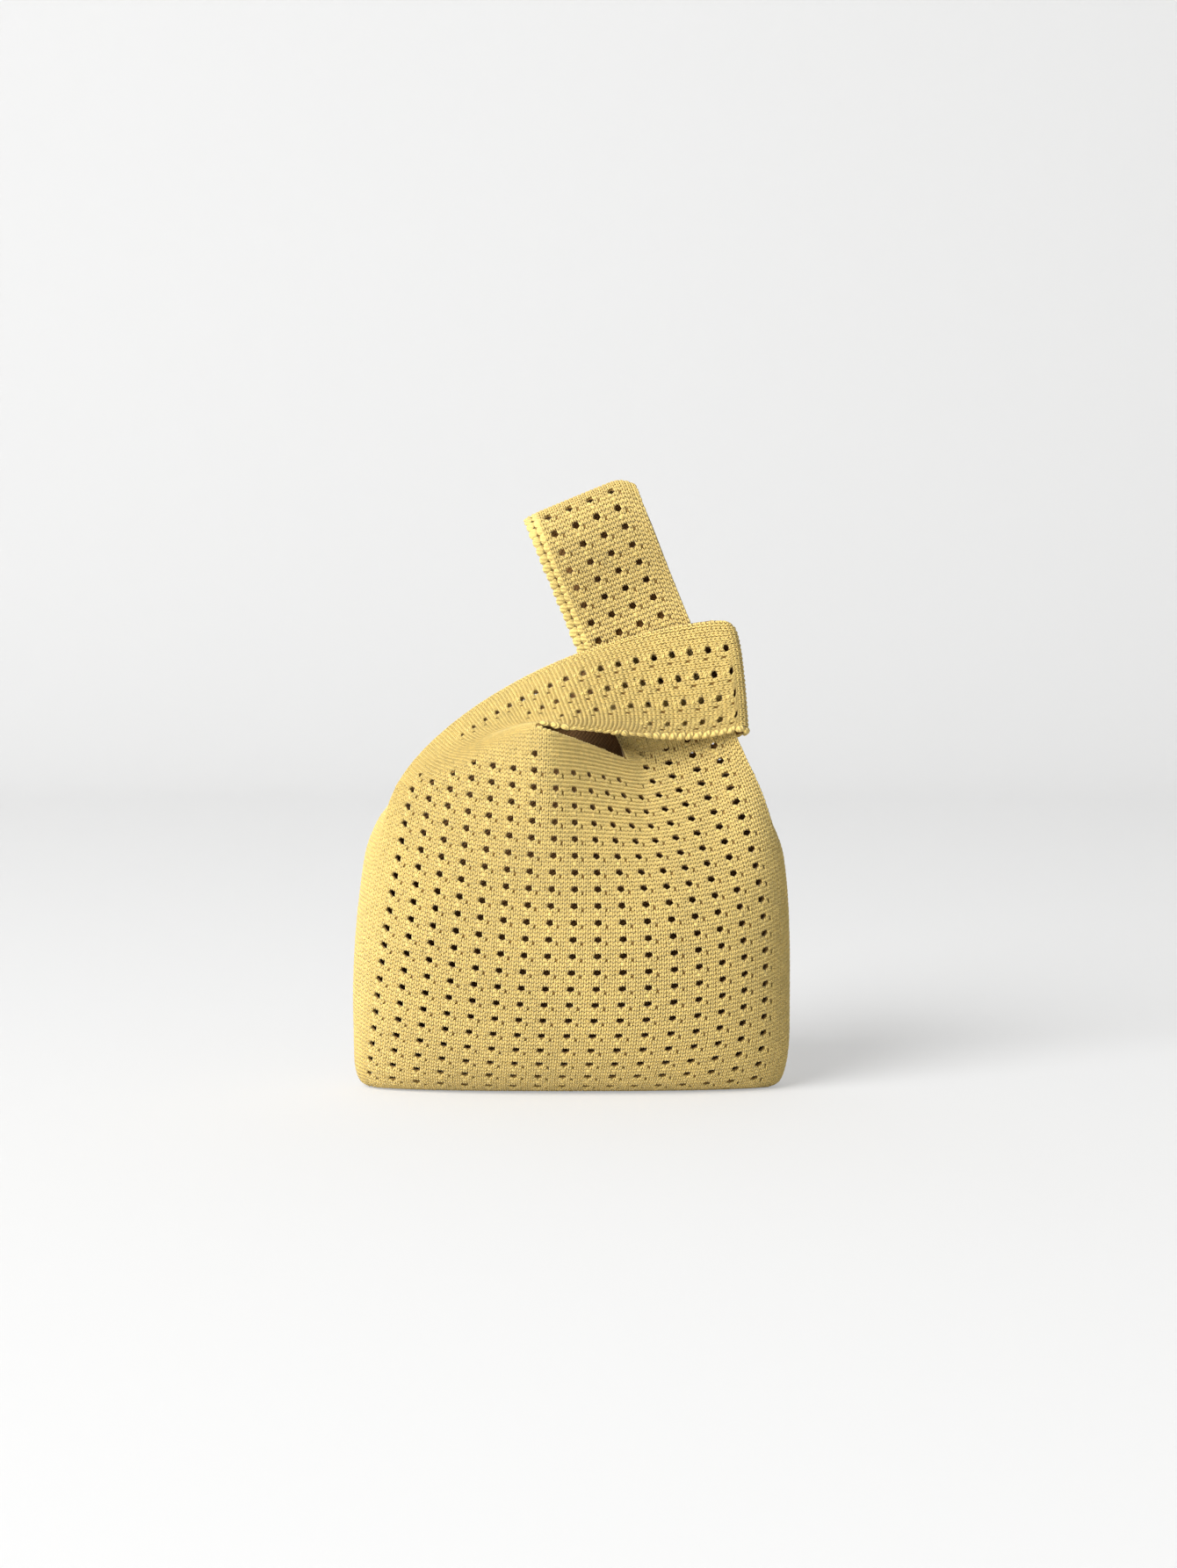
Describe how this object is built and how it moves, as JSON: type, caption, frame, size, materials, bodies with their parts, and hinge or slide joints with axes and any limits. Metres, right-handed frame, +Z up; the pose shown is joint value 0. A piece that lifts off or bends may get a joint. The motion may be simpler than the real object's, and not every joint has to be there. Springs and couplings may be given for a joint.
{
  "type": "knit shoulder bag",
  "caption": "Soft eyelet-knit knot bag with a pillow-shaped body, a short strap looped round a long strap, and an upright hand grip.",
  "frame": {"origin": "middle of the flat strip that the bag stands on, at the bottom centre of its box", "axes": "+X along the width towards the loop's fold, +Y from the front to the back, +Z up towards the grip"},
  "size_m": [0.222, 0.104, 0.3156],
  "materials": {
    "eyelet_knit": "matte cotton yarn, knit with columns of small eyelets",
    "plain_knit": "matte cotton yarn, plain knit",
    "seam_yarn": "matte cotton yarn, linked seam"
  },
  "bodies": {
    "bag": {"front_panel": "eyelet_knit", "back_panel": "eyelet_knit", "left_gusset": "plain_knit", "right_gusset": "plain_knit", "base_strip": "plain_knit", "front_mouth_hem": "plain_knit", "back_mouth_hem": "plain_knit", "short_strap_front_arm": "eyelet_knit", "short_strap_back_arm": "eyelet_knit", "long_strap_front_leg": "eyelet_knit", "long_strap_back_leg": "eyelet_knit"},
    "loop": {"loop_front_layer": "eyelet_knit", "loop_back_layer": "eyelet_knit", "loop_end_seam": "seam_yarn"},
    "handle": {"handle_front_stem": "eyelet_knit", "handle_back_stem": "eyelet_knit"},
    "grip": {"grip_front_layer": "eyelet_knit", "grip_back_layer": "eyelet_knit", "grip_top_seam": "seam_yarn"}
  },
  "joints": [
    {"name": "loop_lean", "type": "hinge", "parent": "bag", "child": "loop", "pos_m": [0.04, 0, 0.178], "axis": [1, 0, 0], "range_deg": [-15, 15]},
    {"name": "handle_pull", "type": "slide", "parent": "loop", "child": "handle", "axis": [-0.3795, 0, 0.9252], "range_m": [0, 0.03]},
    {"name": "grip_tip", "type": "hinge", "parent": "handle", "child": "grip", "pos_m": [0.02943, 0, 0.23962], "axis": [0.9252, 0, 0.3795], "range_deg": [-70, 70]}
  ]
}
